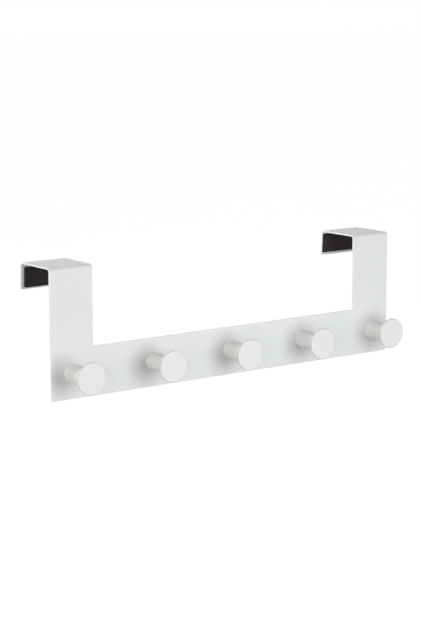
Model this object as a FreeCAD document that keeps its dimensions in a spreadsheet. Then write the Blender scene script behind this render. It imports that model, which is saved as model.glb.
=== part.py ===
import FreeCAD, Part
import math
import os

import Sketcher

# Over door hook rack: one folded steel sheet that hangs over the top of a door, five turned
# pegs screwed on from behind, and a strip of foam on the inside of each short back leg.
# Frame: +X to the right of someone facing the rack, +Y into the door, +Z up.
# Origin: the top front corner of the door, halfway between the two hooks.
# Lengths are in millimetres and angles in degrees.

SIZES = {
    # Folded sheet.
    "rail_width": 400.0,
    "bar_height": 46.0,
    "arm_height": 75.0,
    "arm_width": 45.0,
    "sheet_thickness": 1.5,
    "bend_radius": 2.0,
    "door_gap": 46.0,
    "leg_length": 25.0,
    "leg_splay": 3.0,
    "bar_corner_radius": 2.5,
    "inner_corner_radius": 3.0,
    "leg_corner_radius": 2.0,
    # Pegs, in a level row spread evenly between the two end pegs.
    "peg_end_margin": 22.0,
    "peg_height": 24.0,
    "stem_base_diameter": 17.0,
    "stem_neck_diameter": 16.0,
    "stem_length": 31.3,
    "neck_radius": 1.2,
    "disc_diameter": 30.0,
    "disc_thickness": 2.0,
    "disc_front_radius": 0.8,
    "disc_back_radius": 0.4,
    # Screws that hold the pegs, put in from behind.
    "screw_diameter": 4.0,
    "screw_engagement": 9.0,
    "screw_head_diameter": 7.6,
    "screw_head_height": 1.6,
    "screw_head_radius": 0.7,
    "recess_width": 4.2,
    "recess_slot": 1.1,
    "recess_depth": 0.9,
    "thread_clearance": 0.05,
    "plate_hole_clearance": 0.25,
    "tap_run_out": 2.0,
    "drill_point_angle": 118.0,
    # Foam strips on the inside of the back legs.
    "liner_width": 41.5,
    "liner_height": 19.0,
    "liner_thickness": 2.0,
    "liner_corner_radius": 0.8,
    "left_liner_side_gap": 3.0,
    "left_liner_end_gap": 1.6,
    "right_liner_side_gap": 0.2,
    "right_liner_end_gap": 2.6,
}

PEG_COUNT = 5
TOLERANCE = 0.01
# The sketcher's numbers for its origin and axes, and for the points of a line or a circle.
ORIGIN, H_AXIS, V_AXIS = -1, -1, -2
START, END, CENTRE = range(1, 4)

doc = FreeCAD.newDocument("over_door_hook")
sheet = doc.addObject("Spreadsheet::Sheet", "Sizes")
for row, (alias, number) in enumerate(SIZES.items(), start=1):
    sheet.set(f"A{row}", alias)
    sheet.set(f"B{row}", f"{number}")
    sheet.setAlias(f"B{row}", alias)
doc.recompute()

# Lengths that several pieces share, as formulas on the size sheet.
RAIL_DROP = "(Sizes.bar_height + Sizes.arm_height - Sizes.sheet_thickness)"
PEG_LEVEL = f"(Sizes.peg_height - {RAIL_DROP})"
HALF_WINDOW = "(Sizes.rail_width / 2 - Sizes.arm_width)"
HALF_ROW = "(Sizes.rail_width / 2 - Sizes.peg_end_margin)"
PEG_PITCH = f"(2 * {HALF_ROW} / {PEG_COUNT - 1})"
SPLAY = "(Sizes.leg_splay * 1 deg)"
LEG_FACE = f"(Sizes.leg_length - Sizes.sheet_thickness * (1 - sin({SPLAY})) / cos({SPLAY}))"
THREAD_HOLE_RADIUS = "(Sizes.screw_diameter / 2 + Sizes.thread_clearance)"
THREAD_HOLE_DEPTH = "(Sizes.screw_engagement + Sizes.tap_run_out)"
DRILL_POINT = f"({THREAD_HOLE_RADIUS} / tan(Sizes.drill_point_angle * 1 deg / 2))"


def size(alias):
    """The number that a cell of the size sheet holds."""
    return float(sheet.get(alias))


def close(first, second):
    """Whether two lengths are the same within the tolerance of this part."""
    return abs(first - second) < TOLERANCE


def new_body(name):
    """An empty body whose label is the name of its piece."""
    body = doc.addObject("PartDesign::Body", name)
    body.Label = name
    return body


def origin_feature(body, role):
    """One of a body's own origin planes or axes."""
    return next(o for o in body.Origin.OriginFeatures if o.Role == role)


def new_sketch(body, name, plane):
    """A sketch on one of a body's own origin planes."""
    sketch = body.newObject("Sketcher::SketchObject", name)
    sketch.AttachmentSupport = (origin_feature(body, plane), [""])
    sketch.MapMode = "FlatFace"
    return sketch


def add_outline(sketch, corners):
    """A closed outline of straight lines through the corners, joined end to end."""
    points = [FreeCAD.Vector(first, second, 0) for first, second in corners]
    count = len(points)
    for i in range(count):
        sketch.addGeometry(Part.LineSegment(points[i], points[(i + 1) % count]), False)
    for i in range(count):
        sketch.addConstraint(Sketcher.Constraint("Coincident", i, END, (i + 1) % count, START))


def constrain(sketch, kind, *lines):
    """Give each of the lines the same kind of constraint, such as Horizontal."""
    for line in lines:
        sketch.addConstraint(Sketcher.Constraint(kind, line))


def bind(sketch, name, formula, kind, *where):
    """Add a named dimension to a sketch and tie it to a formula on the size sheet."""
    index = sketch.addConstraint(Sketcher.Constraint(kind, *where))
    sketch.renameConstraint(index, name)
    sketch.setExpression(f"Constraints.{name}", formula)


def feature(body, kind, name, **formulas):
    """A feature of a body with its sizes tied to formulas on the size sheet."""
    made = body.newObject(f"PartDesign::{kind}", name)
    for key, formula in formulas.items():
        made.setExpression(key, formula)
    return made


def extrude(body, kind, name, sketch, formula, side="One side", back=False):
    """A pad or pocket of a sketch, with its length tied to a formula."""
    made = feature(body, kind, name, Length=formula)
    made.Profile = sketch
    made.SideType = side
    made.Reversed = back
    doc.recompute()
    return made


def revolve(body, name, sketch):
    """A full turn of a sketch about its first axis."""
    made = feature(body, "Revolution", name)
    made.Profile = sketch
    made.ReferenceAxis = (sketch, ["H_Axis"])
    made.Angle = 360
    doc.recompute()
    return made


def round_edges(body, base, name, formula, test):
    """Fillet the edges of a feature that pass a test."""
    edges = [f"Edge{i}" for i, edge in enumerate(base.Shape.Edges, start=1) if test(edge)]
    made = feature(body, "Fillet", name, Radius=formula)
    made.Base = (base, edges)
    doc.recompute()
    return made


def line_through(axis, first, second):
    """A test for straight edges along an axis that pass through a point of the other two."""
    others = [i for i in range(3) if i != axis]

    def test(edge):
        ends = [vertex.Point for vertex in edge.Vertexes]
        if len(ends) != 2:
            return False
        return all(close(end[others[0]], first) and close(end[others[1]], second) for end in ends)

    return test


def circle_at(radius, place):
    """A test for round edges of a radius, centred at a place along Y."""

    def test(edge):
        if not isinstance(edge.Curve, Part.Circle):
            return False
        return close(edge.Curve.Radius, radius) and close(edge.Curve.Center.y, place)

    return test


def row_of(body, base, name, whole):
    """Repeat a feature, or the whole piece, at the pitch of the pegs."""
    made = feature(body, "LinearPattern", name, Offset=PEG_PITCH)
    made.Originals = [] if whole else [base]
    if whole:
        made.TransformMode = made.getEnumerationsOfProperty("TransformMode")[1]
    made.Direction = (origin_feature(body, "X_Axis"), [""])
    made.Mode = "Spacing"
    made.Occurrences = PEG_COUNT
    body.Tip = made
    doc.recompute()
    return made


def place(body, x="0", y="0", z="0"):
    """Put a piece where formulas on the size sheet say."""
    for axis, formula in (("x", x), ("y", y), ("z", z)):
        body.setExpression(f"Placement.Base.{axis}", f"{formula} * 1 mm")


def make_rail_plate():
    """The folded sheet: bar, two arms, tops over the door and short back legs."""
    body = new_body("rail_plate")
    thick, gap, leg = size("sheet_thickness"), size("door_gap"), size("leg_length")
    drop = size("bar_height") + size("arm_height") - thick
    splay = math.radians(size("leg_splay"))
    lean, fall = math.sin(splay), math.cos(splay)

    fold = new_sketch(body, "fold_section", "YZ_Plane")
    leg_tip = (gap + thick + lean * leg, thick - fall * leg)
    leg_toe = (leg_tip[0] - thick * fall, leg_tip[1] - thick * lean)
    add_outline(fold, [
        (-thick, -drop), (-thick, thick), (gap + thick, thick), leg_tip,
        leg_toe, (gap, 0.0), (0.0, 0.0), (0.0, -drop),
    ])
    front, top, leg_back, leg_end, leg_face, underside, door_face, foot = range(8)
    constrain(fold, "Vertical", front, door_face)
    constrain(fold, "Horizontal", top, underside, foot)
    fold.addConstraint(Sketcher.Constraint("Coincident", underside, END, ORIGIN, START))
    fold.addConstraint(Sketcher.Constraint("Parallel", leg_back, leg_face))
    fold.addConstraint(Sketcher.Constraint("Perpendicular", leg_back, leg_end))
    bind(fold, "front_wall", "Sizes.sheet_thickness", "DistanceX", foot, END, foot, START, thick)
    bind(fold, "top_wall", "Sizes.sheet_thickness", "DistanceY", ORIGIN, START, top, START, thick)
    bind(fold, "leg_wall", "Sizes.sheet_thickness", "Distance", leg_end, thick)
    bind(fold, "drop", RAIL_DROP, "DistanceY", door_face, END, door_face, START, drop)
    bind(fold, "door_gap", "Sizes.door_gap", "DistanceX", underside, END, underside, START, gap)
    bind(fold, "leg_length", "Sizes.leg_length", "Distance", leg_back, leg)
    bind(fold, "leg_splay", f"90 deg + {SPLAY}", "Angle", leg_face, math.pi / 2 + splay)
    strip = extrude(body, "Pad", "folded_strip", fold, "Sizes.rail_width", "Symmetric")

    corner_y = gap + thick * fall - thick * (1 - lean) * lean / fall
    inner = [line_through(0, 0.0, 0.0), line_through(0, gap, 0.0)]
    outer = [line_through(0, -thick, thick), line_through(0, corner_y, thick)]
    inside = round_edges(body, strip, "inner_bends", "Sizes.bend_radius", lambda e: any(t(e) for t in inner))
    round_edges(body, inside, "outer_bends", "Sizes.bend_radius + Sizes.sheet_thickness",
                lambda e: any(t(e) for t in outer))

    window = new_sketch(body, "window_outline", "XZ_Plane")
    half = size("rail_width") / 2 - size("arm_width")
    sill = size("bar_height") - drop
    head = 2 * thick
    add_outline(window, [(-half, sill), (half, sill), (half, head), (-half, head)])
    constrain(window, "Horizontal", 0, 2)
    constrain(window, "Vertical", 1, 3)
    bind(window, "left_half", HALF_WINDOW, "DistanceX", 0, START, ORIGIN, START, half)
    bind(window, "right_half", HALF_WINDOW, "DistanceX", ORIGIN, START, 0, END, half)
    bind(window, "sill", f"{RAIL_DROP} - Sizes.bar_height", "DistanceY", 0, START, ORIGIN, START, -sill)
    bind(window, "head", "Sizes.sheet_thickness * 2", "DistanceY", ORIGIN, START, 2, START, head)
    reach = "4 * (Sizes.door_gap + Sizes.leg_length)"
    opened = extrude(body, "Pocket", "window", window, reach, "Symmetric")

    wide = size("rail_width") / 2
    toe_z = leg_toe[1]
    inner_corner = [line_through(1, -half, sill), line_through(1, half, sill)]
    bar_corner = [line_through(1, -wide, -drop), line_through(1, wide, -drop)]
    eased = round_edges(body, opened, "window_corners", "Sizes.inner_corner_radius",
                        lambda e: any(t(e) for t in inner_corner))
    eased = round_edges(body, eased, "bar_corners", "Sizes.bar_corner_radius",
                        lambda e: any(t(e) for t in bar_corner))

    def is_leg_corner(edge):
        ends = [vertex.Point for vertex in edge.Vertexes]
        across = close(ends[0].x, ends[-1].x) and close(edge.Length, thick)
        return across and min(end.z for end in ends) < toe_z + thick and min(end.y for end in ends) > gap

    eased = round_edges(body, eased, "leg_corners", "Sizes.leg_corner_radius", is_leg_corner)

    hole = new_sketch(body, "screw_hole_outline", "XZ_Plane")
    radius = size("screw_diameter") / 2 + size("plate_hole_clearance")
    first_x = wide - size("peg_end_margin")
    level = drop - size("peg_height")
    hole.addGeometry(Part.Circle(FreeCAD.Vector(-first_x, -level, 0), FreeCAD.Vector(0, 0, 1), radius), False)
    bind(hole, "radius", "Sizes.screw_diameter / 2 + Sizes.plate_hole_clearance", "Radius", 0, radius)
    bind(hole, "first", HALF_ROW, "DistanceX", 0, CENTRE, ORIGIN, START, first_x)
    bind(hole, "level", f"-{PEG_LEVEL}", "DistanceY", 0, CENTRE, ORIGIN, START, level)
    drilled = extrude(body, "Pocket", "screw_hole", hole, "4 * Sizes.sheet_thickness", "Symmetric")
    row_of(body, drilled, "screw_holes", whole=False)
    return body


def make_peg(number):
    """One turned peg: a round stem that narrows to its neck, a flat disc and a threaded hole."""
    body = new_body(f"peg_{number}")
    hole = size("screw_diameter") / 2 + size("thread_clearance")
    depth = size("screw_engagement") + size("tap_run_out")
    point = hole / math.tan(math.radians(size("drill_point_angle") / 2))
    base, neck, disc = (size(f"{name}_diameter") / 2 for name in ("stem_base", "stem_neck", "disc"))
    stem = size("stem_length")
    tip = stem + size("disc_thickness")

    turning = new_sketch(body, "turning_profile", "YZ_Plane")
    add_outline(turning, [
        (0.0, hole), (0.0, base), (-stem, neck), (-stem, disc),
        (-tip, disc), (-tip, 0.0), (-depth - point, 0.0), (-depth, hole),
    ])
    seat, side, disc_back, rim, face, centre, _, wall = range(8)
    constrain(turning, "Vertical", seat, disc_back, face)
    constrain(turning, "Horizontal", rim, centre, wall)
    turning.addConstraint(Sketcher.Constraint("PointOnObject", seat, START, V_AXIS))
    turning.addConstraint(Sketcher.Constraint("PointOnObject", face, END, H_AXIS))
    bind(turning, "hole", THREAD_HOLE_RADIUS, "DistanceY", ORIGIN, START, seat, START, hole)
    bind(turning, "base", "Sizes.stem_base_diameter / 2", "DistanceY", ORIGIN, START, seat, END, base)
    bind(turning, "neck", "Sizes.stem_neck_diameter / 2", "DistanceY", ORIGIN, START, side, END, neck)
    bind(turning, "disc", "Sizes.disc_diameter / 2", "DistanceY", ORIGIN, START, rim, START, disc)
    bind(turning, "stem", "Sizes.stem_length", "DistanceX", side, END, ORIGIN, START, stem)
    bind(turning, "thick", "Sizes.disc_thickness", "DistanceX", rim, END, rim, START, tip - stem)
    bind(turning, "depth", THREAD_HOLE_DEPTH, "DistanceX", wall, START, ORIGIN, START, depth)
    bind(turning, "point", f"{THREAD_HOLE_DEPTH} + {DRILL_POINT}", "DistanceX", centre, END, ORIGIN, START,
         depth + point)
    turned = revolve(body, "turned", turning)
    turned = round_edges(body, turned, "neck_round", "Sizes.neck_radius", circle_at(neck, -stem))
    turned = round_edges(body, turned, "front_round", "Sizes.disc_front_radius", circle_at(disc, -tip))
    round_edges(body, turned, "back_round", "Sizes.disc_back_radius", circle_at(disc, -stem))
    steps = number - (PEG_COUNT + 1) / 2
    place(body, f"({steps} * {PEG_PITCH})", "(-Sizes.sheet_thickness)", PEG_LEVEL)
    return body


def make_peg_screws():
    """The row of low round headed screws behind the sheet, one for each peg."""
    body = new_body("peg_screws")
    shank, head = size("screw_diameter") / 2, size("screw_head_diameter") / 2
    high = size("screw_head_height")
    length = size("sheet_thickness") + size("screw_engagement")

    turning = new_sketch(body, "screw_profile", "YZ_Plane")
    add_outline(turning, [
        (high, 0.0), (high, head), (0.0, head),
        (0.0, shank), (-length, shank), (-length, 0.0),
    ])
    crown, side, seat, thread, end, centre = range(6)
    constrain(turning, "Vertical", crown, seat, end)
    constrain(turning, "Horizontal", side, thread, centre)
    turning.addConstraint(Sketcher.Constraint("PointOnObject", crown, START, H_AXIS))
    turning.addConstraint(Sketcher.Constraint("PointOnObject", seat, START, V_AXIS))
    bind(turning, "high", "Sizes.screw_head_height", "DistanceX", side, END, side, START, high)
    bind(turning, "head", "Sizes.screw_head_diameter / 2", "DistanceY", ORIGIN, START, seat, START, head)
    bind(turning, "shank", "Sizes.screw_diameter / 2", "DistanceY", ORIGIN, START, thread, START, shank)
    bind(turning, "length", "Sizes.sheet_thickness + Sizes.screw_engagement", "DistanceX", thread, END,
         ORIGIN, START, length)
    turned = revolve(body, "screw_blank", turning)
    turned = round_edges(body, turned, "head_round", "Sizes.screw_head_radius", circle_at(head, high))

    cross = new_sketch(body, "cross_recess", "XZ_Plane")
    cross.setExpression("AttachmentOffset.Base.z", "-Sizes.screw_head_height * 1 mm")
    wide, slot = size("recess_width") / 2, size("recess_slot") / 2
    add_outline(cross, [
        (-wide, -slot), (-slot, -slot), (-slot, -wide), (slot, -wide), (slot, -slot), (wide, -slot),
        (wide, slot), (slot, slot), (slot, wide), (-slot, wide), (-slot, slot), (-wide, slot),
    ])
    constrain(cross, "Horizontal", *range(0, 12, 2))
    constrain(cross, "Vertical", *range(1, 12, 2))
    for name, line, direction, low, half, formula in (
        ("left", 0, "DistanceX", True, wide, "Sizes.recess_width / 2"),
        ("lower", 2, "DistanceY", True, wide, "Sizes.recess_width / 2"),
        ("right", 6, "DistanceX", False, wide, "Sizes.recess_width / 2"),
        ("upper", 8, "DistanceY", False, wide, "Sizes.recess_width / 2"),
        ("slot_left", 2, "DistanceX", True, slot, "Sizes.recess_slot / 2"),
        ("slot_lower", 0, "DistanceY", True, slot, "Sizes.recess_slot / 2"),
        ("slot_right", 8, "DistanceX", False, slot, "Sizes.recess_slot / 2"),
        ("slot_upper", 6, "DistanceY", False, slot, "Sizes.recess_slot / 2"),
    ):
        ends = (line, START, ORIGIN, START) if low else (ORIGIN, START, line, START)
        bind(cross, name, formula, direction, *ends, half)
    cut = extrude(body, "Pocket", "cross", cross, "Sizes.recess_depth", back=True)
    row_of(body, cut, "screw_row", whole=True)
    place(body, f"(-{HALF_ROW})", "0", PEG_LEVEL)
    return body


def make_liner(side, start, start_formula):
    """A foam strip stuck to the inside of one back leg, which it leans with."""
    body = new_body(f"door_liner_{side}")
    splay = math.radians(size("leg_splay"))
    face = size("leg_length") - size("sheet_thickness") * (1 - math.sin(splay)) / math.cos(splay)
    low = size(f"{side}_liner_end_gap") - face
    high = low + size("liner_height")
    finish = start + size("liner_width")

    outline = new_sketch(body, "liner_outline", "XZ_Plane")
    add_outline(outline, [(start, low), (finish, low), (finish, high), (start, high)])
    constrain(outline, "Horizontal", 0, 2)
    constrain(outline, "Vertical", 1, 3)
    bind(outline, "wide", "Sizes.liner_width", "DistanceX", 0, START, 0, END, finish - start)
    bind(outline, "high", "Sizes.liner_height", "DistanceY", 1, START, 1, END, high - low)
    bind(outline, "start", start_formula, "DistanceX", ORIGIN, START, 0, START, start)
    bind(outline, "low", f"Sizes.{side}_liner_end_gap - {LEG_FACE}", "DistanceY",
         ORIGIN, START, 0, START, low)
    strip = extrude(body, "Pad", "strip", outline, "Sizes.liner_thickness")
    corners = [line_through(1, x, z) for x in (start, finish) for z in (low, high)]
    round_edges(body, strip, "strip_corners", "Sizes.liner_corner_radius",
                lambda e: any(t(e) for t in corners))
    lean = FreeCAD.Rotation(FreeCAD.Vector(1, 0, 0), size("leg_splay"))
    body.Placement = FreeCAD.Placement(FreeCAD.Vector(), lean)
    body.setExpression("Placement.Rotation.Angle", SPLAY)
    place(body, y="Sizes.door_gap")
    return body


def check_document():
    """Stop if any object of the document failed or any piece has no sound shape."""
    for item in doc.Objects:
        if "Invalid" in item.State or "Error" in item.State:
            raise RuntimeError(f"{item.Name} failed: {item.State}")
    for body in pieces:
        if body.Shape.isNull() or not body.Shape.isValid() or not body.Shape.Solids:
            raise RuntimeError(f"{body.Label} has no sound shape")


half_rail = size("rail_width") / 2
left_start = size("left_liner_side_gap") - half_rail
right_start = half_rail - size("arm_width") + size("right_liner_side_gap")
pieces = [make_rail_plate()]
pieces += [make_peg(number) for number in range(1, PEG_COUNT + 1)]
pieces.append(make_peg_screws())
pieces.append(make_liner("left", left_start, "Sizes.left_liner_side_gap - Sizes.rail_width / 2"))
pieces.append(make_liner("right", right_start, f"{HALF_WINDOW} + Sizes.right_liner_side_gap"))
doc.recompute()
check_document()

os.makedirs("parts", exist_ok=True)
for piece in pieces:
    piece.Shape.exportStep(f"parts/{piece.Label}.step")
    print(f"{piece.Label}: {len(piece.Shape.Solids)} solid(s), {piece.Shape.Volume:.1f} mm3")
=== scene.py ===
"""An over door rack: a folded, powder coated sheet with five turned pegs, screwed on from behind."""

import logging
import math
from collections.abc import Callable, Iterator
from contextlib import contextmanager
from dataclasses import dataclass, field
from enum import Enum

import bmesh
import bpy
from mathutils import Matrix, Vector


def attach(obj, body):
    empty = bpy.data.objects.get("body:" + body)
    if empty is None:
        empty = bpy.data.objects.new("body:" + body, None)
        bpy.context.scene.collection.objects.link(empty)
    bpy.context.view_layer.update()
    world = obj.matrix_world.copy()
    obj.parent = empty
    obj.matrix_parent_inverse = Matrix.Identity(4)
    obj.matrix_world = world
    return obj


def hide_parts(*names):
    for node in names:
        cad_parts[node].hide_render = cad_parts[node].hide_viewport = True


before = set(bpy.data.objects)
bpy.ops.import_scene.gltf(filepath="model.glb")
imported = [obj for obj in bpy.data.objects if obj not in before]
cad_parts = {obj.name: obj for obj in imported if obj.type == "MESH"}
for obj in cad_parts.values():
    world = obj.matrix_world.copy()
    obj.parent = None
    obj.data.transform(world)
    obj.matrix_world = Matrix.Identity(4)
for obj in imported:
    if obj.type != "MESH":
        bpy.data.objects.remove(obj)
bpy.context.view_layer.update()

Triple = tuple[float, float, float]
Test = Callable[[Vector], bool]
Element = bmesh.types.BMVert | bmesh.types.BMEdge | bmesh.types.BMFace

MM = 0.001
TOLERANCE = 0.02 * MM
QUARTER_TURN = math.pi / 2
ROUND = 0.5
HALF = 0.5
UNIT = (1.0, 1.0, 1.0)
WHITE = (1.0, 1.0, 1.0)
TRIANGLE_HEIGHT = 1.5
FLAT_WEIGHT = 80
FRAME_WIDTH, FRAME_HEIGHT = 421, 631
SENSOR = 36.0
BODY = "root"

log = logging.getLogger("over_door_rack")


def near(first: float, second: float, within: float = TOLERANCE) -> bool:
    """Whether two lengths are the same, as near as this work needs.

    Args:
        first: One length, in metres.
        second: The other length, in metres.
        within: The most that they may differ.

    Returns:
        True if they are the same.
    """
    return abs(first - second) < within


# ----------------------------------------
# The bench: one mesh at a time, shaped in edit mode
# ----------------------------------------


class Level(Enum):
    """What a selection is made of."""

    CORNERS = "VERT"
    EDGES = "EDGE"
    FACES = "FACE"


@dataclass
class Workpiece:
    """One mesh on the bench.

    Attributes:
        obj: The Blender object that holds the mesh.
    """

    obj: bpy.types.Object

    @staticmethod
    def clear_bench() -> None:
        """Leave nothing selected, so that the next step acts only on what it is given."""
        bpy.ops.object.select_all(action="DESELECT")

    @classmethod
    def start(
        cls, name: str, primitive: Callable[..., object], stretch: Triple, **settings: object
    ) -> "Workpiece":
        """Put a primitive on the bench, at its size and place.

        Args:
            name: The name of the new object and its mesh.
            primitive: The operator that adds the primitive.
            stretch: How much it is stretched along each axis.
            settings: What the operator takes, such as location and rotation.

        Returns:
            The new workpiece, with its place in its mesh.
        """
        cls.clear_bench()
        primitive(**settings)
        obj = bpy.context.object
        obj.name = obj.data.name = name
        obj.scale = stretch
        bpy.ops.object.transform_apply(location=True, rotation=True, scale=True)
        return cls(obj)

    def take(self) -> None:
        """Make this the only selected object."""
        self.clear_bench()
        self.obj.select_set(True)
        bpy.context.view_layer.objects.active = self.obj

    @contextmanager
    def editing(self) -> Iterator[None]:
        """Shape the mesh in edit mode for as long as the block lasts."""
        self.take()
        bpy.ops.object.mode_set(mode="EDIT")
        bpy.ops.mesh.select_all(action="SELECT")
        yield
        bpy.ops.object.mode_set(mode="OBJECT")

    @staticmethod
    def middle(item: Element) -> Vector:
        """The middle of a corner, an edge or a face."""
        corners = [item] if isinstance(item, bmesh.types.BMVert) else list(item.verts)
        return sum((corner.co for corner in corners), Vector()) / len(corners)

    def pick(self, level: Level, test: Test) -> None:
        """Select the corners, edges or faces whose middle passes a test.

        Args:
            level: What to select.
            test: Takes the middle of an element and says whether it is wanted.
        """
        bpy.ops.mesh.select_mode(type=level.value)
        bpy.ops.mesh.select_all(action="DESELECT")
        mesh = bmesh.from_edit_mesh(self.obj.data)
        elements = {Level.CORNERS: mesh.verts, Level.EDGES: mesh.edges, Level.FACES: mesh.faces}[level]
        wanted = [item for item in elements if test(self.middle(item))]
        if not wanted:
            raise ValueError(f"{self.obj.name}: nothing passes the test")
        for item in wanted:
            item.select_set(True)
        mesh.select_flush_mode()
        bmesh.update_edit_mesh(self.obj.data)

    def extrude(self, move: Triple) -> None:
        """Extrude what is selected, and move the new part."""
        bpy.ops.mesh.extrude_region_move(TRANSFORM_OT_translate={"value": move})

    def stretch(self, by: Triple, centre: Triple) -> None:
        """Scale what is selected about a centre."""
        bpy.ops.transform.resize(value=by, center_override=centre)

    def round_over(self, width: float, steps: int, level: Level = Level.EDGES) -> None:
        """Round the selected edges, or the selected corners of a flat face.

        Args:
            width: How far from the edge the rounding starts.
            steps: How many faces the rounding has.
            level: CORNERS to round the corners of a flat face.
        """
        affect = "VERTICES" if level is Level.CORNERS else "EDGES"
        bpy.ops.mesh.bevel(offset=width, offset_type="OFFSET", segments=steps, profile=ROUND,
                           affect=affect, clamp_overlap=True)

    def merge_flat(self, angle: float) -> None:
        """Make faces that lie in one plane one face, where the mesh is being edited.

        Args:
            angle: The greatest angle between two such faces.
        """
        bpy.ops.mesh.select_mode(type="FACE")
        bpy.ops.mesh.select_all(action="SELECT")
        bpy.ops.mesh.dissolve_limited(angle_limit=angle)

    def modify(self, kind: str, **settings: object) -> None:
        """Add a modifier with its settings, and apply it."""
        self.take()
        modifier = self.obj.modifiers.new(kind.lower(), kind)
        for key, value in settings.items():
            setattr(modifier, key, value)
        bpy.ops.object.modifier_apply(modifier=modifier.name)

    def cut_with(self, cutter: "Workpiece") -> None:
        """Take the cutter's shape out of this piece, and throw the cutter away."""
        self.modify("BOOLEAN", operation="DIFFERENCE", solver="EXACT", object=cutter.obj)
        bpy.data.objects.remove(cutter.obj)

    def join(self, *others: "Workpiece") -> None:
        """Make other workpieces part of this one's mesh."""
        self.take()
        for other in others:
            other.obj.select_set(True)
        bpy.ops.object.join()

    def move(self, matrix: Matrix) -> None:
        """Move or turn the mesh itself, so that the object stays at the origin."""
        self.obj.data.transform(matrix)
        self.obj.data.update()

    def copy(self, name: str) -> "Workpiece":
        """A second piece of the same shape, with a mesh of its own."""
        twin = self.obj.copy()
        twin.data = self.obj.data.copy()
        twin.name = twin.data.name = name
        bpy.context.scene.collection.objects.link(twin)
        return Workpiece(twin)

    def smooth(self, angle: float = math.radians(40)) -> None:
        """Shade the piece smooth but for its sharp edges, with its flat faces kept flat."""
        self.take()
        bpy.ops.object.shade_smooth_by_angle(angle=angle)
        self.modify("WEIGHTED_NORMAL", keep_sharp=True, weight=FLAT_WEIGHT)

    def hand_over(self, material: bpy.types.Material, slot: str, *nodes: str) -> None:
        """Dress the finished piece and put it in the place of its CAD nodes.

        Args:
            material: The finish.
            slot: The record's name for the finish; not used.
            nodes: The CAD nodes that the piece stands for.
        """
        self.obj.data.materials.clear()
        self.obj.data.materials.append(material)
        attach(self.obj, BODY)
        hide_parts(*nodes)
        low, high = (Vector(corner) for corner in (self.obj.bound_box[0], self.obj.bound_box[6]))
        log.info("%s: %d faces, %s to %s mm", self.obj.name, len(self.obj.data.polygons),
                 [round(x / MM, 2) for x in low], [round(x / MM, 2) for x in high])


# ----------------------------------------
# Finishes
# ----------------------------------------


def opaque(colour: Triple) -> tuple[float, float, float, float]:
    """A colour as the sockets take it."""
    return (*colour, 1.0)


@dataclass(frozen=True)
class Flow:
    """A number, colour or vector that flows through a material, with sums written as in Python."""

    recipe: "Recipe"
    socket: bpy.types.NodeSocket

    def _sum(self, operation: str, first: object, second: object) -> "Flow":
        """One Math node with two values."""
        return self.recipe.node("ShaderNodeMath", {"operation": operation}, {0: first, 1: second})["Value"]

    def __add__(self, other: object) -> "Flow":
        """This plus other."""
        return self._sum("ADD", self, other)

    def __radd__(self, other: object) -> "Flow":
        """Other plus this."""
        return self._sum("ADD", other, self)

    def __sub__(self, other: object) -> "Flow":
        """This less other."""
        return self._sum("SUBTRACT", self, other)

    def __rsub__(self, other: object) -> "Flow":
        """Other less this."""
        return self._sum("SUBTRACT", other, self)

    def __mul__(self, other: object) -> "Flow":
        """This times other."""
        return self._sum("MULTIPLY", self, other)

    def __rmul__(self, other: object) -> "Flow":
        """Other times this."""
        return self._sum("MULTIPLY", other, self)

    def __pow__(self, power: float) -> "Flow":
        """This to a power."""
        return self._sum("POWER", self, power)

    def at_most(self, other: object) -> "Flow":
        """The lesser of this and other."""
        return self._sum("MINIMUM", self, other)

    def wrapped(self, half: float) -> "Flow":
        """This, counted anew from -half to half over and over."""
        return self.recipe.node("ShaderNodeMath", {"operation": "WRAP"},
                                {0: self, 1: half, 2: -half})["Value"]

    def rise(self, start: float, end: float) -> "Flow":
        """0 below start and 1 above end, with a soft rise between them."""
        return self.recipe.node("ShaderNodeMapRange", {"interpolation_type": "SMOOTHSTEP"},
                                {"Value": self, "From Min": start, "From Max": end})["Result"]


class Outputs:
    """The outputs of a node, by name."""

    def __init__(self, recipe: "Recipe", node: bpy.types.Node) -> None:
        """Remember the node."""
        self.recipe = recipe
        self.node = node

    def __getitem__(self, name: str) -> Flow:
        """The output of that name that is in use."""
        return Flow(self.recipe, next(s for s in self.node.outputs if s.name == name and s.enabled))


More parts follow.
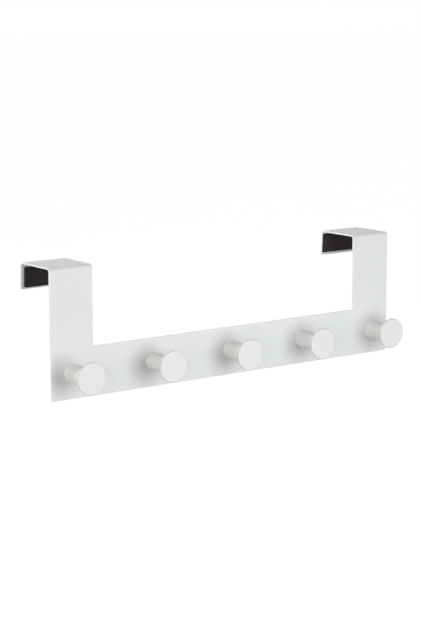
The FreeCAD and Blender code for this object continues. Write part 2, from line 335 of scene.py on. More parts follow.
class Recipe:
    """The node tree of a material or of the world, while it is put together."""

    def __init__(self, tree: bpy.types.NodeTree) -> None:
        """Start with an empty tree.

        Args:
            tree: The tree to fill.
        """
        self.tree = tree
        tree.nodes.clear()

    def node(self, kind: str, settings: dict[str, object], sockets: dict[int | str, object]) -> Outputs:
        """Add a node.

        Args:
            kind: The node's type.
            settings: What is set on the node itself, with stops for the stops of a ramp.
            sockets: A value or a Flow for each input, by name or number.

        Returns:
            The node's outputs.
        """
        made = self.tree.nodes.new(kind)
        for key, value in settings.items():
            if key == "stops":
                self._set_stops(made.color_ramp, value)
            else:
                setattr(made, key, value)
        for key, value in sockets.items():
            socket = made.inputs[key] if isinstance(key, int) else self._input(made, key)
            if isinstance(value, Flow):
                self.tree.links.new(value.socket, socket)
            else:
                socket.default_value = value
        return Outputs(self, made)

    @staticmethod
    def _input(node: bpy.types.Node, name: str) -> bpy.types.NodeSocket:
        """The input of that name that is in use."""
        return next(s for s in node.inputs if s.name == name and s.enabled)

    @staticmethod
    def _set_stops(ramp: bpy.types.ColorRamp, stops: list[tuple[float, float]]) -> None:
        """Give a ramp its grey stops."""
        for index, (place, grey) in enumerate(stops):
            stop = ramp.elements[index] if index < 2 else ramp.elements.new(place)
            stop.position = place
            stop.color = (grey, grey, grey, 1.0)

    def place(self) -> Flow:
        """Where a point is, in metres in the frame of the part."""
        return self.node("ShaderNodeTexCoord", {}, {})["Object"]

    def noise(self, size: float, detail: float = 2.0, stretch: Triple = UNIT) -> Flow:
        """Soft noise from 0 to 1.

        Args:
            size: The size of its spots, in metres.
            detail: How many finer layers it has.
            stretch: How much closer together the spots are along each axis.

        Returns:
            The value of the noise.
        """
        where = self.node("ShaderNodeMapping", {}, {"Vector": self.place(), "Scale": stretch})["Vector"]
        return self.node("ShaderNodeTexNoise", {}, {"Vector": where, "Scale": 1 / size, "Detail": detail,
                                                    "Roughness": 0.5})["Fac"]

    def blend(self, share: object, first: Triple | Flow, second: Triple | Flow) -> Flow:
        """A colour between two colours.

        Args:
            share: How much of the second colour there is.
            first: The first colour.
            second: The second colour.

        Returns:
            The colour.
        """
        start, end = (colour if isinstance(colour, Flow) else opaque(colour) for colour in (first, second))
        return self.node("ShaderNodeMix", {"data_type": "RGBA"},
                         {"Factor": share, "A": start, "B": end})["Result"]

    def bump(self, height: Flow, depth: float, strength: float = 1.0) -> Flow:
        """The direction of a surface with small dents.

        Args:
            height: How high the surface is, from 0 to 1.
            depth: How much a height of 1 is, in metres.
            strength: How much of it shows.

        Returns:
            The direction of the surface.
        """
        return self.node("ShaderNodeBump", {}, {"Height": height, "Distance": depth,
                                                "Strength": strength})["Normal"]

    def surface(self, **sockets: object) -> None:
        """End a material in one surface shader.

        Args:
            sockets: The shader's inputs, with underscores for the spaces in their names.
        """
        named = {key.replace("_", " "): value for key, value in sockets.items()}
        shader = self.node("ShaderNodeBsdfPrincipled", {}, named)["BSDF"]
        self.node("ShaderNodeOutputMaterial", {}, {"Surface": shader})


@dataclass(frozen=True)
class Finish:
    """What every finish has.

    Attributes:
        name: The material's name, which is also the record's slot.
    """

    name: str

    def make(self) -> bpy.types.Material:
        """Mix the material."""
        material = bpy.data.materials.new(self.name)
        material.use_nodes = True
        self.fill(Recipe(material.node_tree))
        return material

    def fill(self, recipe: Recipe) -> None:
        """Put the finish's nodes in the recipe."""
        raise NotImplementedError


@dataclass(frozen=True)
class PowderCoat(Finish):
    """Baked powder on steel: satin, with the fine grain and faint waves of the fused powder.

    Attributes:
        pale: The coat where it is thick.
        deep: The coat where it is a little thinner.
        roughness: How matt it is on the average.
        grain: The size of the grain, in metres.
        wave: The length of the waves, in metres.
        patch: The size of its thicker and thinner patches, in metres.
        relief: How deep grain and waves are together, in metres.
        patch_share: How much of its change of colour follows the patches. The rest follows the grain.
        wave_share: How much of the relief is waves. The rest is grain.
        grain_gloss: How much the roughness changes with the grain.
        wave_gloss: How much the roughness changes with the waves.
        shown: How much of the relief shows.
        index: The refractive index of the resin.
    """

    pale: Triple = (0.800, 0.818, 0.808)
    deep: Triple = (0.765, 0.783, 0.775)
    roughness: float = 0.46
    grain: float = 0.55 * MM
    wave: float = 3.2 * MM
    patch: float = 26 * MM
    relief: float = 0.035 * MM
    patch_share: float = 0.7
    wave_share: float = 0.55
    grain_gloss: float = 0.12
    wave_gloss: float = 0.08
    shown: float = 0.6
    index: float = 1.48

    def fill(self, recipe: Recipe) -> None:
        """Put the finish's nodes in the recipe."""
        grain = recipe.noise(self.grain)
        wave = recipe.noise(self.wave, detail=1.0)
        patch = recipe.noise(self.patch)
        share = patch * self.patch_share + grain * (1 - self.patch_share)
        recipe.surface(
            Base_Color=self.paint_rim_shade(recipe, recipe.blend(share, self.deep, self.pale)),
            Roughness=self.roughness + (grain - HALF) * self.grain_gloss + (wave - HALF) * self.wave_gloss,
            IOR=self.index,
            Normal=recipe.bump(grain * (1 - self.wave_share) + wave * self.wave_share,
                               self.relief, self.shown),
        )

    def paint_rim_shade(self, recipe: Recipe, coat: Flow) -> Flow:
        """The colour of the coat, with any painted shade at its rims: on flat sheet, none."""
        return coat


@dataclass(frozen=True)
class PegCoat(PowderCoat):
    """The coat of the pegs, with a darker ring painted round the rim of each disc as painted shade for the
    rim's thin dark outline.

    Attributes:
        edge: The painted shade at the rim of each disc, where the ring is darkest.
        row_pitch: From peg to peg, with one peg in the middle of the row.
        row_level: The height of the pegs' axes.
        rim: The radii at which the painted rim shade starts, and at which it is darkest.
    """

    # painted shade: the colour of the darkest part of the ring round each disc's rim
    edge: Triple = (0.66, 0.665, 0.66)
    row_pitch: float = 89 * MM
    row_level: float = -95.5 * MM
    rim: tuple[float, float] = (14.1 * MM, 14.6 * MM)

    def paint_rim_shade(self, recipe: Recipe, coat: Flow) -> Flow:
        """The colour of the coat, with painted shade darkening it round the rim of each disc."""
        parts = recipe.node("ShaderNodeSeparateXYZ", {}, {"Vector": recipe.place()})
        across, up = parts["X"].wrapped(self.row_pitch / 2), parts["Z"] - self.row_level
        radius = (across * across + up * up) ** 0.5
        # painted shade: the coat turns darker towards each disc's rim
        return recipe.blend(radius.rise(*self.rim), coat, self.edge)


@dataclass(frozen=True)
class ZincPlate(Finish):
    """Bright zinc on turned steel: fine tool rings round the screw's axis, and a faint warm bloom.

    Attributes:
        bright: The clear zinc.
        bloom: The zinc where it has dulled.
        roughness: How matt it is on the average.
        spot: The size of the dull spots, in metres.
        speck: The size of the finest specks, in metres.
        ring: The spacing of the tool rings, in metres.
        ring_stretch: How much closer together the rings are along each axis, with the screw's axis along Y.
        spot_gloss: How much the roughness changes with the spots.
        speck_gloss: How much the roughness changes with the specks.
        ring_share: How much of the relief is rings. The rest is specks.
        relief: How deep the rings and specks are together, in metres.
        shown: How much of the relief shows.
    """

    bright: Triple = (0.52, 0.53, 0.55)
    bloom: Triple = (0.44, 0.43, 0.40)
    roughness: float = 0.34
    spot: float = 1.6 * MM
    speck: float = 0.15 * MM
    ring: float = 0.12 * MM
    ring_stretch: Triple = (0.05, 1.0, 0.05)
    spot_gloss: float = 0.25
    speck_gloss: float = 0.1
    ring_share: float = 0.6
    relief: float = 0.012 * MM
    shown: float = 0.6

    def fill(self, recipe: Recipe) -> None:
        """Put the finish's nodes in the recipe."""
        spots = recipe.noise(self.spot, detail=3.0)
        specks = recipe.noise(self.speck)
        rings = recipe.noise(self.ring, detail=1.0, stretch=self.ring_stretch)
        recipe.surface(
            Base_Color=recipe.blend(spots, self.bright, self.bloom),
            Metallic=1.0,
            Roughness=self.roughness + (spots - HALF) * self.spot_gloss + (specks - HALF) * self.speck_gloss,
            Normal=recipe.bump(rings * self.ring_share + specks * (1 - self.ring_share),
                               self.relief, self.shown),
        )


@dataclass(frozen=True)
class ClosedCellFoam(Finish):
    """Dark foam with fine closed cells, cut open at the surface, with painted shade in the open cells.

    Attributes:
        skin: The foam between the cells.
        pit_shade: The painted shade at the bottom of an open cell.
        cell: The size of a cell, in metres.
        patch: The size of the lighter and darker patches, in metres.
        cell_share: How much of the dark colour follows the cells, as painted shade in their hollows.
        patch_share: How much of it follows the patches.
        roughness: The least that the foam is matt.
        patch_gloss: How much more matt the patches make it.
        opening: Where a cell's open middle ends and where its wall begins, as shares of the cell.
        relief: How deep the open cells are, in metres.
        shown: How much of the relief shows.
        shine: How strongly the skin reflects, where 0.5 is usual.
    """

    skin: Triple = (0.041, 0.0345, 0.033)
    # painted shade: the colour at the bottom of an open cell
    pit_shade: Triple = (0.0135, 0.0105, 0.0105)
    cell: float = 0.42 * MM
    patch: float = 5 * MM
    cell_share: float = 0.75
    patch_share: float = 0.35
    roughness: float = 0.86
    patch_gloss: float = 0.12
    opening: tuple[float, float] = (0.12, 0.62)
    relief: float = 0.16 * MM
    shown: float = 0.7
    shine: float = 0.22

    def fill(self, recipe: Recipe) -> None:
        """Put the finish's nodes in the recipe."""
        cells = recipe.node("ShaderNodeTexVoronoi", {"feature": "F1"},
                            {"Vector": recipe.place(), "Scale": 1 / self.cell, "Randomness": 1.0})["Distance"]
        patches = recipe.noise(self.patch, detail=3.0)
        middle, wall = self.opening
        open_cell = recipe.node("ShaderNodeValToRGB", {"stops": [(middle, 1.0), (wall, 0.0)]},
                                {"Fac": cells})["Color"]
        depth = recipe.node("ShaderNodeSeparateColor", {}, {"Color": open_cell})["Red"]
        # painted shade in the open cells, plus the foam's own darker patches
        pit_shade_and_patches = (depth * self.cell_share + patches * self.patch_share).at_most(1.0)
        recipe.surface(
            Base_Color=recipe.blend(pit_shade_and_patches, self.skin, self.pit_shade),
            Roughness=(self.roughness + patches * self.patch_gloss).at_most(1.0),
            Specular_IOR_Level=self.shine,
            Normal=recipe.bump(1 - depth, self.relief, self.shown),
        )


# ----------------------------------------
# The pieces
# ----------------------------------------


@dataclass
class FoldedRail:
    """The sheet: a bar, two arms, tops that lie on the door, and short back legs that splay a little.

    Attributes:
        width: From end to end.
        bar_height: The height of the bar between the arms.
        arm_height: From the bar to the top of the hooks.
        arm_width: The width of an arm and its hook.
        sheet: The thickness of the steel with its coat.
        bend: The inner radius of the bends.
        gap: From the back of the sheet to the corner of the leg.
        leg: The length of a leg, on its outside.
        splay: How far a leg leans away from the door.
        bar_corner: The radius of the bar's lower corners.
        inner_corner: The radius between the bar and the arms.
        leg_corner: The radius of a leg's corners.
        edge: The softening of the cut edges under the coat.
        holes: The places of the screw holes, as x and z.
        hole: The radius of a screw hole.
        drill: The length of the drill that makes a hole.
        hole_sides: How many sides a screw hole has.
        bend_steps: How many faces a bend has.
        corner_steps: How many faces an outer corner has.
        inner_steps: How many faces the corner between bar and arm has.
        edge_steps: How many faces a softened edge has.
        flat: The greatest angle between two faces that are made one.
        sharp: The least angle of an edge that is softened.
    """

    width: float = 400 * MM
    bar_height: float = 46 * MM
    arm_height: float = 75 * MM
    arm_width: float = 45 * MM
    sheet: float = 1.5 * MM
    bend: float = 2 * MM
    gap: float = 46 * MM
    leg: float = 25 * MM
    splay: float = math.radians(3)
    bar_corner: float = 2.5 * MM
    inner_corner: float = 3 * MM
    leg_corner: float = 2 * MM
    edge: float = 0.32 * MM
    holes: list[tuple[float, float]] = field(default_factory=list)
    hole: float = 2.25 * MM
    drill: float = 8 * MM
    hole_sides: int = 40
    bend_steps: int = 10
    corner_steps: int = 6
    inner_steps: int = 7
    edge_steps: int = 3
    flat: float = math.radians(1)
    sharp: float = math.radians(55)

    @property
    def foot(self) -> float:
        """The height of the bar's lower edge."""
        return self.sheet - self.bar_height - self.arm_height

    @property
    def sill(self) -> float:
        """The height of the bar's upper edge."""
        return self.foot + self.bar_height

    @property
    def half_window(self) -> float:
        """From the middle of the rack to the inner edge of an arm."""
        return self.width / 2 - self.arm_width

    @property
    def leg_face(self) -> float:
        """The length of a leg on its inside, from the corner of the fold."""
        return self.leg - self.sheet * (1 - math.sin(self.splay)) / math.cos(self.splay)

    def _lay_out_bar(self) -> Workpiece:
        """The back face of the bar, with a line at each side of the window."""
        middle = (0, 0, self.foot + self.bar_height / 2)
        work = Workpiece.start("folded_rail", bpy.ops.mesh.primitive_plane_add,
                               (self.width, self.bar_height, 1.0), size=1, location=middle,
                               rotation=(QUARTER_TURN, 0, 0))
        with work.editing():
            for side in (-self.half_window, self.half_window):
                bpy.ops.mesh.select_all(action="SELECT")
                bpy.ops.mesh.bisect(plane_co=(side, 0, 0), plane_no=(1, 0, 0))
        return work

    def _fold_hooks(self, work: Workpiece) -> None:
        """Draw both arms up, over the door and down, with round bends."""
        turn = QUARTER_TURN - self.splay
        setback = self.bend * math.tan(turn / 2)
        reach = self.gap - setback
        lean = Vector((0, math.sin(self.splay), -math.cos(self.splay)))
        across = Vector((0, math.cos(self.splay), math.sin(self.splay)))
        wide = self.width / 2 - TOLERANCE

        def end_of_strip(y: float, z: float) -> Test:
            """A test for the edges across both arms at a place in the section."""
            return lambda p: near(p.y, y) and near(p.z, z) and self.half_window < abs(p.x) < wide

        with work.editing():
            work.pick(Level.EDGES, lambda p: near(p.z, self.sill) and abs(p.x) > self.half_window)
            work.extrude((0, 0, -self.bend - self.sill))
            work.pick(Level.EDGES, end_of_strip(0, -self.bend))
            bpy.ops.mesh.spin(steps=self.bend_steps, angle=QUARTER_TURN, axis=(1, 0, 0),
                              center=(0, self.bend, -self.bend))
            work.pick(Level.EDGES, end_of_strip(self.bend, 0))
            work.extrude((0, reach - self.bend, 0))
            work.pick(Level.EDGES, end_of_strip(reach, 0))
            bpy.ops.mesh.spin(steps=self.bend_steps, angle=turn, axis=(1, 0, 0),
                              center=(0, reach, -self.bend))
            end = Vector((0, reach, -self.bend)) + self.bend * across
            work.pick(Level.EDGES, end_of_strip(end.y, end.z))
            work.extrude(tuple(lean * (self.leg_face - setback)))

    def _round_corners(self, work: Workpiece) -> None:
        """Make the front one face, and round the corners of the bar, the window and the legs."""
        half, wide = self.half_window, self.width / 2
        toe = -self.leg_face * math.cos(self.splay)
        with work.editing():
            work.merge_flat(self.flat)
            for radius, steps, test in (
                (self.bar_corner, self.corner_steps,
                 lambda p: near(p.z, self.foot) and near(abs(p.x), wide)),
                (self.inner_corner, self.inner_steps,
                 lambda p: near(p.z, self.sill) and near(abs(p.x), half)),
                (self.leg_corner, self.corner_steps, lambda p: near(p.z, toe) and p.y > self.gap),
            ):
                work.pick(Level.CORNERS, test)
                work.round_over(radius, steps, Level.CORNERS)

    def build(self) -> Workpiece:
        """Fold the sheet, thicken it, drill it and soften its edges.

        Returns:
            The finished sheet.
        """
        work = self._lay_out_bar()
        self._fold_hooks(work)
        self._round_corners(work)
        work.modify("SOLIDIFY", thickness=self.sheet, offset=1.0, use_even_offset=True)
        for x, z in self.holes:
            work.cut_with(Workpiece.start("drill", bpy.ops.mesh.primitive_cylinder_add, UNIT,
                                          vertices=self.hole_sides, radius=self.hole, depth=self.drill,
                                          location=(x, 0, z), rotation=(QUARTER_TURN, 0, 0)))
        with work.editing():
            work.merge_flat(self.flat)
        work.modify("BEVEL", width=self.edge, segments=self.edge_steps, limit_method="ANGLE",
                    angle_limit=self.sharp, use_clamp_overlap=True)
        work.smooth()
        return work


@dataclass
class TurnedPeg:
    """A peg: a round stem that narrows to its neck, and a flat disc. A screw from behind holds it.

    Attributes:
        seat: The place of the middle of its seat on the sheet.
        base: The radius of the stem at the sheet.
        neck: The radius of the stem at the disc.
        stem: The length of the stem.
        neck_round: The radius between the stem and the disc.
        disc: The radius of the disc.
        thick: The thickness of the disc.
        front_round: The radius of the disc's front edge.
        back_round: The radius of the disc's back edge.
        seat_round: The softening of the stem's edge at the sheet.
        bore: The radius of the threaded hole.
        bore_depth: The depth of the threaded hole, without its point.
        bore_point: The length of its point, as a share of its radius.
        sides: How many sides the round shapes have.
    """

    seat: Triple
    base: float = 8.5 * MM
    neck: float = 8 * MM
    stem: float = 31.3 * MM
    neck_round: float = 1.2 * MM
    disc: float = 15 * MM
    thick: float = 2 * MM
    front_round: float = 1.0 * MM
    back_round: float = 0.4 * MM
    seat_round: float = 0.3 * MM
    bore: float = 2.05 * MM
    bore_depth: float = 11 * MM
    bore_point: float = 0.6
    sides: int = 96

    def _ring(self, radius: float, y: float) -> Test:
        """A test for the edges of the ring that has a radius and a place along the axis."""
        x0, _, z0 = self.seat

        def test(p: Vector) -> bool:
            """Whether a point is on the ring."""
            return near(p.y, y) and near(math.hypot(p.x - x0, p.z - z0), radius, 3 * TOLERANCE)

        return test

    def build(self, name: str) -> Workpiece:
        """Turn the peg.

        Args:
            name: The name of the piece.

        Returns:
            The finished peg.
        """
        x0, y0, z0 = self.seat
        shoulder, front = y0 - self.stem, y0 - self.stem - self.thick
        work = Workpiece.start(name, bpy.ops.mesh.primitive_cylinder_add, UNIT, vertices=self.sides,
                               radius=self.base, depth=self.stem, location=(x0, y0 - self.stem / 2, z0),
                               rotation=(QUARTER_TURN, 0, 0))
        with work.editing():
            work.pick(Level.FACES, lambda p: near(p.y, shoulder))
            work.stretch((self.neck / self.base, 1, self.neck / self.base), (x0, shoulder, z0))
            work.extrude((0, 0, 0))
            work.stretch((self.disc / self.neck, 1, self.disc / self.neck), (x0, shoulder, z0))
            work.extrude((0, -self.thick, 0))
            for radius, y, width, steps in (
                (self.neck, shoulder, self.neck_round, 6),
                (self.disc, shoulder, self.back_round, 3),
                (self.disc, front, self.front_round, 5),
                (self.base, y0, self.seat_round, 2),
            ):
                work.pick(Level.EDGES, self._ring(radius, y))
                work.round_over(width, steps)
            work.pick(Level.FACES, lambda p: near(p.y, y0) and near(math.hypot(p.x - x0, p.z - z0), 0))
            bpy.ops.mesh.inset(thickness=self.base - self.seat_round - self.bore)
            work.extrude((0, -self.bore_depth, 0))
            work.extrude((0, -self.bore * self.bore_point, 0))
            bpy.ops.mesh.merge(type="CENTER")
            bpy.ops.mesh.select_all(action="SELECT")
            bpy.ops.mesh.normals_make_consistent(inside=False)
        work.smooth()
        return work


@dataclass
class PegScrew:
    """A low round headed screw with a cross recess, and the thread that bites into the peg.

    Attributes:
        head: The radius of the head.
        height: The height of the head.
        head_round: The rounding of the head's edge.
        shank: The radius over the thread.
        root: The radius under the thread.
        length: The length of the shank.
        pitch: The pitch of the thread.
        plain: The length of the shank without a thread, under the head.
        tip_round: The rounding of the shank's end.
        bite: How far the thread's ridge is sunk in the shank.
        recess: The width of the cross.
        slot: The width of each slot of the cross.
        recess_depth: The depth of the cross.
        recess_floor: The size of the bottom of the cross, as a share of its mouth along each axis.
        sides: How many sides the head and the shank have.
        head_steps: How many faces the rounding of the head has.
        tip_steps: How many faces the rounding of the shank's end has.
        thread_steps: How many faces a turn of the thread has.
        crease: The least angle of an edge that stays sharp.
    """

    head: float = 3.8 * MM
    height: float = 1.6 * MM
    head_round: float = 0.75 * MM
    shank: float = 2.0 * MM
    root: float = 1.66 * MM
    length: float = 10.5 * MM
    pitch: float = 0.7 * MM
    plain: float = 1.3 * MM
    recess: float = 4.2 * MM
    slot: float = 1.1 * MM
    recess_depth: float = 1.3 * MM
    recess_floor: Triple = (0.3, 1, 0.4)
    tip_round: float = 0.4 * MM
    bite: float = 0.1 * MM
    sides: int = 48
    head_steps: int = 5
    tip_steps: int = 2
    thread_steps: int = 24
    crease: float = math.radians(32)

    def _thread(self) -> Workpiece:
        """The ridge that winds round the shank, as a closed band with a triangular section."""
        size = (self.shank - self.root + self.bite) / TRIANGLE_HEIGHT
        turns = int((self.length - self.plain - 2 * size) / self.pitch)
        ridge = Workpiece.start("thread", bpy.ops.mesh.primitive_circle_add, UNIT, vertices=3, radius=size,
                                fill_type="NOTHING", location=(self.shank - size, -self.plain - size, 0),
                                rotation=(0, 0, -QUARTER_TURN))
        ridge.modify("SCREW", axis="Y", angle=2 * math.pi, screw_offset=-self.pitch, iterations=turns,
                     steps=self.thread_steps, render_steps=self.thread_steps, use_merge_vertices=False,
                     use_smooth_shade=False)
        with ridge.editing():
            bpy.ops.mesh.select_mode(type="EDGE")
            bpy.ops.mesh.select_all(action="DESELECT")
            bpy.ops.mesh.select_non_manifold()
            bpy.ops.mesh.edge_face_add()
            bpy.ops.mesh.select_all(action="SELECT")
            bpy.ops.mesh.normals_make_consistent(inside=False)
        return ridge

    def build(self) -> Workpiece:
        """Make one screw at the origin, with its head behind the sheet.

        Returns:
            The finished screw.
        """
        work = Workpiece.start("peg_screw", bpy.ops.mesh.primitive_cylinder_add, UNIT, vertices=self.sides,
                               radius=self.head, depth=self.height, location=(0, self.height / 2, 0),
                               rotation=(QUARTER_TURN, 0, 0))
        with work.editing():
            work.pick(Level.FACES, lambda p: near(p.y, 0))
            bpy.ops.mesh.inset(thickness=self.head - self.root)
            work.extrude((0, -self.length, 0))
            work.pick(Level.EDGES, lambda p: near(p.y, -self.length))
            work.round_over(self.tip_round, self.tip_steps)
            work.pick(Level.EDGES, lambda p: near(p.y, self.height))
            work.round_over(self.head_round, self.head_steps)
        bottom = self.height - self.recess_depth
        for turn in (0.0, QUARTER_TURN):
            blade = Workpiece.start("blade", bpy.ops.mesh.primitive_cube_add,
                                    (self.recess, self.recess_depth * 2, self.slot), size=1,
                                    location=(0, self.height, 0))
            with blade.editing():
                blade.pick(Level.FACES, lambda p: near(p.y, bottom))
                blade.stretch(self.recess_floor, (0, bottom, 0))
            blade.move(Matrix.Rotation(turn, 4, "Y"))
            work.cut_with(blade)
        work.join(self._thread())
        work.smooth(self.crease)
        return work

    def build_row(self, places: list[tuple[float, float]]) -> Workpiece:
        """A screw at each place, joined into one piece.

        Args:
            places: Where the screws are, as x and z.

        Returns:
            The whole row.
        """
        first = self.build()
        row = [first] + [first.copy(f"peg_screw_{i}") for i in range(2, len(places) + 1)]
        for screw, (x, z) in zip(row, places):
            screw.move(Matrix.Translation((x, 0, z)))
        first.join(*row[1:])
        first.obj.name = first.obj.data.name = "peg_screw_row"
        return first


@dataclass
class FoamLiner:
    """A strip of foam stuck to the inside of a leg, which it leans with.

    Attributes:
        start: Where its left end is.
        end_gap: How far its lower edge is from the end of the leg.
        rail: The sheet that it is stuck to.
        width: From end to end.
        height: From edge to edge.
        thick: The thickness of the foam.
        corner: The radius of its corners.
        voxel: The size of the cells that its mesh is made of.
        ripple: The length of the soft waves in its surface.
        ripple_depth: How deep those waves are.
        ripple_middle: The height of a wave that leaves the surface where it is, from 0 to 1.
    """

    start: float
    end_gap: float
    rail: FoldedRail
    width: float = 41.5 * MM
    height: float = 19 * MM
    thick: float = 2 * MM
    corner: float = 0.8 * MM
    voxel: float = 0.42 * MM
    ripple: float = 4 * MM
    ripple_depth: float = 0.06 * MM
    ripple_middle: float = 0.7

    def build(self, name: str) -> Workpiece:
        """Cut the strip, soften it and stick it on.

        Args:
            name: The name of the piece.

        Returns:
            The finished strip.
        """
        low = self.end_gap - self.rail.leg_face
        middle = (self.start + self.width / 2, -self.thick / 2, low + self.height / 2)
        work = Workpiece.start(name, bpy.ops.mesh.primitive_cube_add, (self.width, self.thick, self.height),
                               size=1, location=middle)
        with work.editing():
            work.pick(Level.EDGES, lambda p: near(p.y, middle[1]))
            work.round_over(self.corner, steps=4)
        work.modify("REMESH", mode="VOXEL", voxel_size=self.voxel, use_smooth_shade=True)
        work.modify("SMOOTH", factor=0.5, iterations=2)
        waves = bpy.data.textures.new("ripple", "CLOUDS")
        waves.noise_scale = self.ripple
        work.modify("DISPLACE", texture=waves, strength=self.ripple_depth, mid_level=self.ripple_middle,
                    texture_coords="LOCAL")
        work.move(Matrix.Translation((0, self.rail.gap, 0)) @ Matrix.Rotation(self.rail.splay, 4, "X"))
        work.take()
        bpy.ops.object.shade_smooth()
        return work


# ----------------------------------------
# The studio
# ----------------------------------------


@dataclass(frozen=True)
class Softbox:
    """A large soft lamp.

    Attributes:
        name: Its name.
        place: Where it stands.
        width: Its width and height.
        level: The light that it gives at what it points at, where 1 shows a colour as it is written.
        tint: The colour of its light.
        aim: What it points at.
    """

    name: str
    place: Triple
    width: float
    level: float
    tint: Triple = WHITE
    aim: Triple = (0.0, 0.0, -0.06)

    def set_up(self) -> None:
        """Put the lamp in the scene, with the power that its level needs at its distance."""
        data = bpy.data.lights.new(self.name, "AREA")
        data.shape = "SQUARE"
        data.size = self.width
        data.color = self.tint
        away = Vector(self.place) - Vector(self.aim)
        data.energy = self.level * math.pi**2 * away.length_squared
        lamp = bpy.data.objects.new(self.name, data)
        lamp.location = self.place
        lamp.rotation_euler = away.to_track_quat("Z", "Y").to_euler()
        bpy.context.scene.collection.objects.link(lamp)


@dataclass(frozen=True)
class Camera:
    """The camera of the picture.

    Attributes:
        place: Where it stands, in metres.
        heading: How far it looks to the right of straight ahead, in degrees.
        dip: How far it looks down, in degrees.
        roll: How far it leans to the right, in degrees.
        focal: Its focal length, in pixels of the picture.
        reach: The nearest and the farthest that it sees, in metres.
    """

    place: Triple = (-1.05727, -1.38831, 0.25004)
    heading: float = 36.725
    dip: float = 10.158
    roll: float = 0.145
    focal: float = 1862.66
    reach: tuple[float, float] = (0.05, 100.0)

    def set_up(self) -> None:
        """Put the camera in the scene."""
        data = bpy.data.cameras.new("camera")
        data.sensor_width = SENSOR
        data.lens = self.focal * SENSOR / max(FRAME_WIDTH, FRAME_HEIGHT)
        data.clip_start, data.clip_end = self.reach
        data.dof.use_dof = False
        camera = bpy.data.objects.new("camera", data)
        turn = (Matrix.Rotation(-math.radians(self.heading), 4, "Z")
                @ Matrix.Rotation(QUARTER_TURN - math.radians(self.dip), 4, "X")
                @ Matrix.Rotation(-math.radians(self.roll), 4, "Z"))
        camera.matrix_world = Matrix.Translation(self.place) @ turn
        bpy.context.scene.collection.objects.link(camera)
        bpy.context.scene.camera = camera


@dataclass(frozen=True)
class Studio:
    """A pale room: a floor well below the rack, soft lamps and an even light from all round.

    Attributes:
        floor_level: The height of the floor.
        floor_size: How far the floor goes.
        floor_colour: The floor, as the rack's light meets it.
        floor_lift: What is added to the floor where the camera sees it.
        ambient: The even light from all round.
        ambient_tint: The colour of the even light.
        lamps: The soft lamps.
    """

    floor_level: float = -0.80
    floor_size: float = 60.0
    floor_colour: Triple = (0.42, 0.42, 0.42)
    floor_lift: float = 0.89
    ambient: float = 0.25
    ambient_tint: Triple = (1.025, 0.997, 0.978)
    lamps: tuple[Softbox, ...] = (
        Softbox("front_softbox", (0.1, -0.9, -0.01), 0.6, 0.61, (0.975, 1.0, 1.025)),
        Softbox("left_softbox", (-2.4, -0.5, 0.3), 1.3, 0.352, (1.05, 1.0, 0.945)),
        Softbox("side_softbox", (-1.7, -2.2, 0.35), 1.5, 0.12),
        Softbox("back_softbox", (-1.2, 1.8, 0.9), 1.3, 0.71),
        Softbox("right_softbox", (2.2, -0.3, 0.2), 1.3, 0.12),
    )

    @staticmethod
    def _mix_by_ray(recipe: Recipe, light: Flow, look: Flow) -> Flow:
        """One shader for light, and another for what is seen straight, in a mirror or through glass."""
        path = recipe.node("ShaderNodeLightPath", {}, {})
        seen = (path["Is Camera Ray"] + path["Is Glossy Ray"] + path["Is Transmission Ray"]).at_most(1.0)
        return recipe.node("ShaderNodeMixShader", {}, {0: seen, 1: light, 2: look})["Shader"]

    def _light_room(self) -> None:
        """The even light, which is white where it is seen."""
        world = bpy.data.worlds.new("room")
        world.use_nodes = True
        bpy.context.scene.world = world
        recipe = Recipe(world.node_tree)
        light, white = (
            recipe.node("ShaderNodeBackground", {}, {"Color": opaque(tint), "Strength": level})["Background"]
            for tint, level in ((self.ambient_tint, self.ambient), (WHITE, 1.0)))
        recipe.node("ShaderNodeOutputWorld", {}, {"Surface": self._mix_by_ray(recipe, light, white)})

    def _lay_floor(self) -> None:
        """The floor, which looks white and keeps the rack's shadow."""
        floor = Workpiece.start("floor", bpy.ops.mesh.primitive_plane_add,
                                (self.floor_size, self.floor_size, 1.0), size=1,
                                location=(0, 0, self.floor_level))
        material = bpy.data.materials.new("pale_floor")
        material.use_nodes = True
        recipe = Recipe(material.node_tree)
        paint = recipe.node("ShaderNodeBsdfDiffuse", {}, {"Color": opaque(self.floor_colour)})["BSDF"]
        lift = recipe.node("ShaderNodeEmission", {}, {"Color": opaque(WHITE),
                                                      "Strength": self.floor_lift})["Emission"]
        lifted = recipe.node("ShaderNodeAddShader", {}, {0: paint, 1: lift})["Shader"]
        recipe.node("ShaderNodeOutputMaterial", {}, {"Surface": self._mix_by_ray(recipe, paint, lifted)})
        floor.obj.data.materials.append(material)

    def set_up(self) -> None:
        """Light the room, lay the floor and put the camera in."""
        scene = bpy.context.scene
        scene.view_settings.view_transform = "Standard"
        self._light_room()
        self._lay_floor()
        for lamp in self.lamps:
            lamp.set_up()
        Camera().set_up()


# ----------------------------------------
# The work, in order
# ----------------------------------------


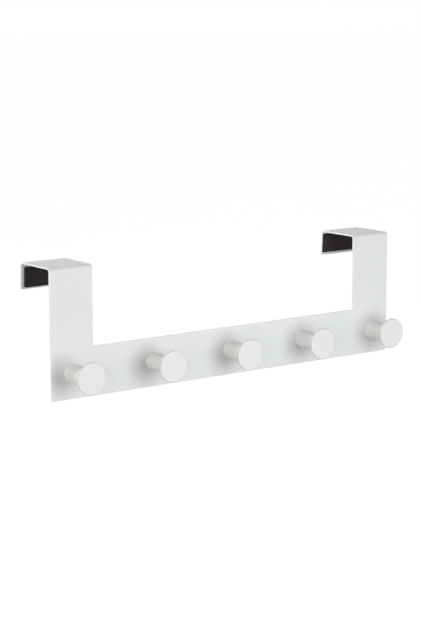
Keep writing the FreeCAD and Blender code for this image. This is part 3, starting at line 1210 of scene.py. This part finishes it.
@dataclass
class OverDoorRack:
    """The whole rack.

    Attributes:
        peg_count: How many pegs it has.
        end_margin: From the end of the sheet to the nearest peg.
        peg_height: From the lower edge of the sheet to the middle of the pegs.
        liners: The left end and the end gap of each foam strip, by side.
    """

    peg_count: int = 5
    end_margin: float = 22 * MM
    peg_height: float = 24 * MM
    liners: dict[str, tuple[float, float]] = field(
        default_factory=lambda: {"left": (-197 * MM, 1.6 * MM), "right": (155.2 * MM, 2.6 * MM)})

    def peg_places(self, rail: FoldedRail) -> list[tuple[float, float]]:
        """Where the pegs are, from left to right.

        Args:
            rail: The sheet that carries them.

        Returns:
            The x and z of each peg.
        """
        first = self.end_margin - rail.width / 2
        pitch = -2 * first / (self.peg_count - 1)
        return [(first + i * pitch, rail.foot + self.peg_height) for i in range(self.peg_count)]

    def build(self) -> None:
        """Make and dress every piece."""
        coat = PowderCoat("white_powder_coat").make()
        peg_coat = PegCoat("peg_powder_coat", pale=(0.815, 0.822, 0.812), deep=(0.785, 0.792, 0.782),
                           roughness=0.42, grain=0.45 * MM, relief=0.03 * MM).make()
        zinc = ZincPlate("zinc_plated_steel").make()
        foam = ClosedCellFoam("dark_foam").make()

        rail = FoldedRail()
        places = self.peg_places(rail)
        rail.holes = places
        rail.build().hand_over(coat, "white_powder_coat", "rail_plate")

        x0, z0 = places[0]
        first = TurnedPeg((x0, -rail.sheet, z0)).build("turned_peg_1")
        pegs = [first] + [first.copy(f"turned_peg_{i}") for i in range(2, self.peg_count + 1)]
        for number, (peg, (x, _)) in enumerate(zip(pegs, places), start=1):
            peg.move(Matrix.Translation((x - x0, 0, 0)))
            peg.hand_over(peg_coat, "peg_powder_coat", f"peg_{number}")

        PegScrew().build_row(places).hand_over(zinc, "zinc_plated_steel", "peg_screws")

        for side, (start, end_gap) in self.liners.items():
            strip = FoamLiner(start, end_gap, rail).build(f"foam_strip_{side}")
            strip.hand_over(foam, "dark_foam", f"door_liner_{side}")


def main() -> None:
    """Set up the studio, build the rack and report each piece."""
    logging.basicConfig(level=logging.INFO, format="%(message)s")
    Studio().set_up()
    OverDoorRack().build()


if __name__ == "__main__":
    main()
